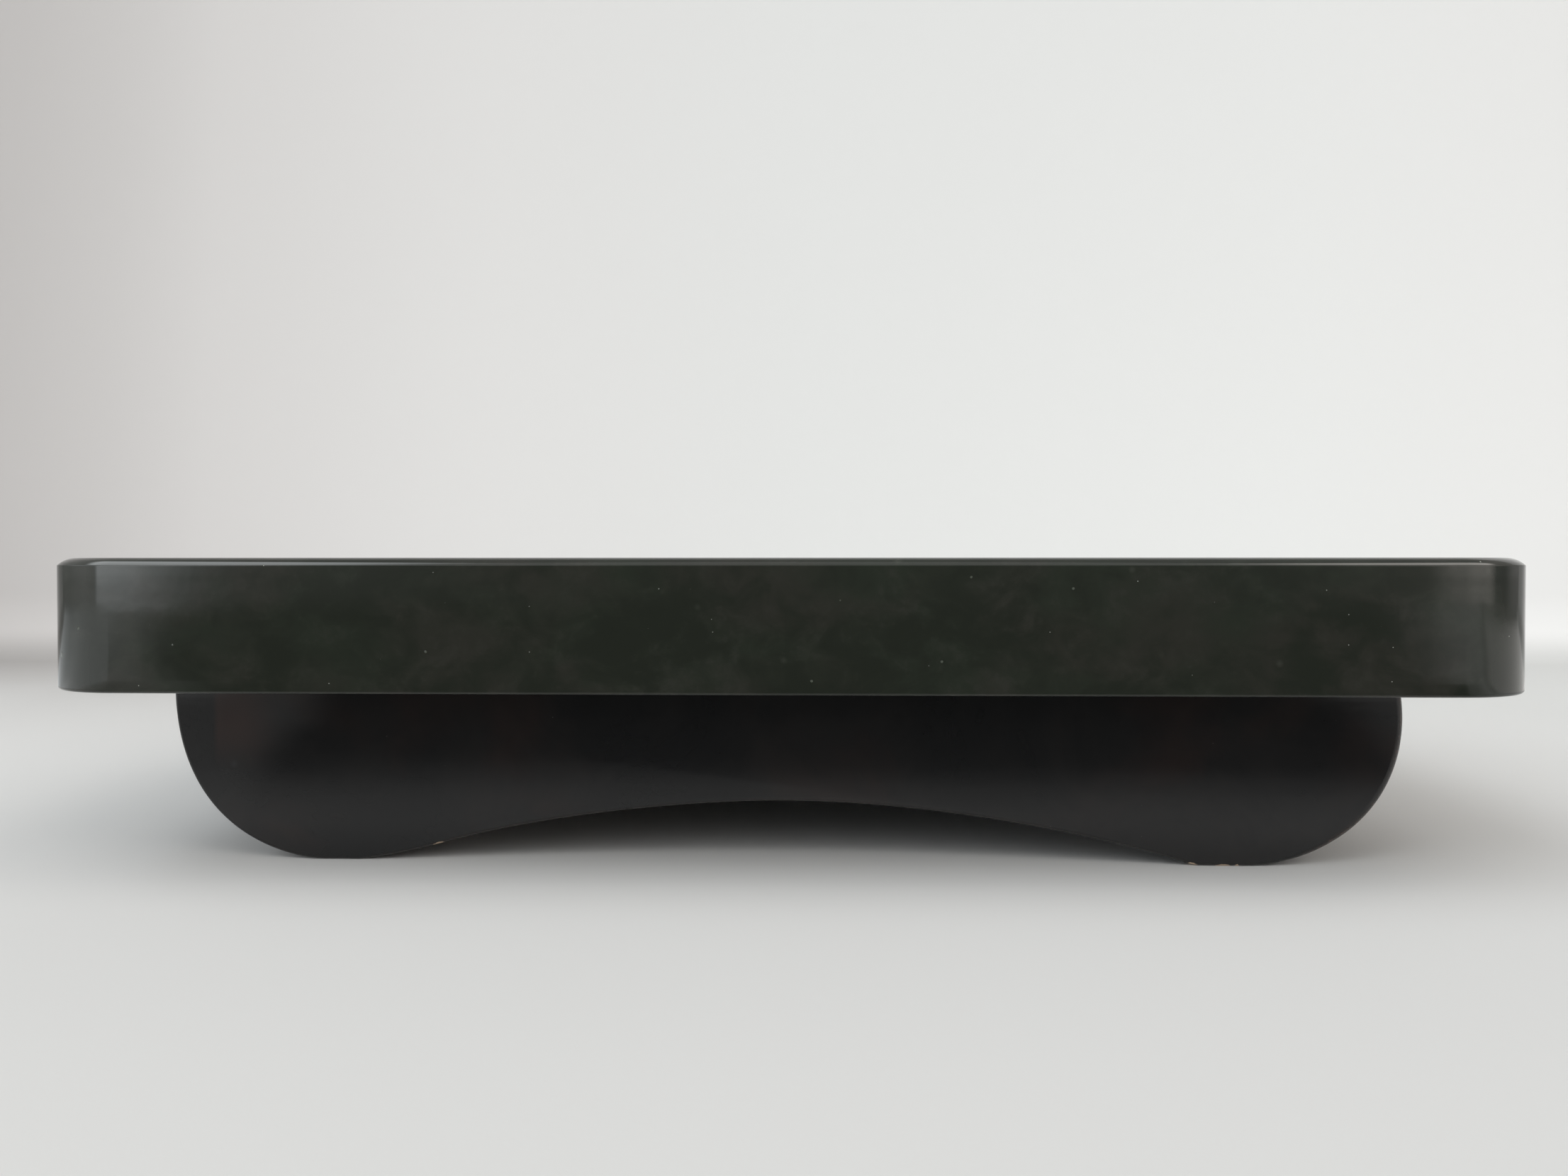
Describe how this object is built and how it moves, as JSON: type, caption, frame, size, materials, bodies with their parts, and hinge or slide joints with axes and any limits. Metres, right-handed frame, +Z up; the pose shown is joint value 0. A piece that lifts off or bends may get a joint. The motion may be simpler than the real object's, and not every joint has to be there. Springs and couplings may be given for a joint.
{
  "type": "footed display stand",
  "caption": "Low display stand: a thick glossy olive-green lacquered slab with rounded corners on a recessed black lacquered base with arched foot boards.",
  "frame": {"origin": "on the surface it stands on, under the middle of the slab", "axes": "+X to the right along the slab's long side, -Y to the front, +Z up through the slab"},
  "size_m": [0.43, 0.29, 0.0921],
  "materials": {
    "green_lacquer": "gloss lacquer, dark olive green with faint cloudy mottling",
    "black_lacquer": "semi-gloss black lacquer, worn through to red-brown and pale wood along the edges",
    "rail_lacquer": "thin satin black lacquer",
    "bare_wood": "bare planed softwood",
    "dowel_wood": "bare fluted beech",
    "screw_steel": "zinc plated, slightly dulled"
  },
  "bodies": {
    "root": {"top_slab": "green_lacquer", "front_foot_board": "black_lacquer", "rear_foot_board": "black_lacquer", "side_rail_left": "rail_lacquer", "side_rail_right": "rail_lacquer", "corner_block_front_left": "bare_wood", "corner_block_front_right": "bare_wood", "corner_block_rear_left": "bare_wood", "corner_block_rear_right": "bare_wood", "dowel_front_left_upper": "dowel_wood", "dowel_front_left_lower": "dowel_wood", "dowel_front_right_upper": "dowel_wood", "dowel_front_right_lower": "dowel_wood", "dowel_rear_left_upper": "dowel_wood", "dowel_rear_left_lower": "dowel_wood", "dowel_rear_right_upper": "dowel_wood", "dowel_rear_right_lower": "dowel_wood", "slab_screw_front_left": "screw_steel", "slab_screw_front_right": "screw_steel", "slab_screw_rear_left": "screw_steel", "slab_screw_rear_right": "screw_steel"}
  },
  "joints": []
}
